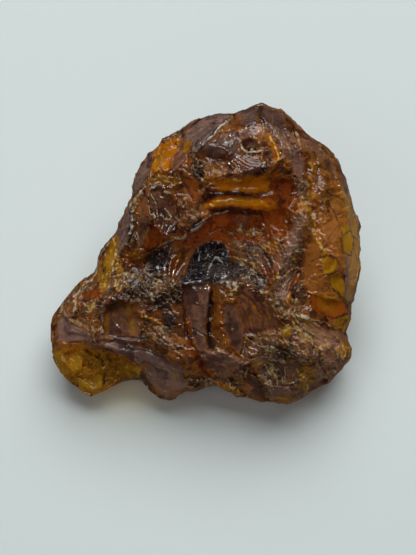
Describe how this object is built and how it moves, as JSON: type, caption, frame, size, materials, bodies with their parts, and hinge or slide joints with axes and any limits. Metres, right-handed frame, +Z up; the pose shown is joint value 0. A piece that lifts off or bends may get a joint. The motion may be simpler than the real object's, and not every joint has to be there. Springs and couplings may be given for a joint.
{
  "type": "raw amber piece",
  "caption": "Rough, glassy lump of natural amber with a hooded crest, broken ledges and a flat break to lie on.",
  "frame": {"origin": "middle of the bounding box, on the flat break that it rests on", "axes": "+Z up from the table, -Y toward the low front edge of the showing face, +X to the right of it"},
  "size_m": [0.0624, 0.056, 0.0373],
  "materials": {
    "amber": "glossy broken resin, dark reddish brown to golden, see-through at its thin edges, with pale crust along its crests"
  },
  "bodies": {
    "root": {"raw_amber": "amber"}
  },
  "joints": []
}
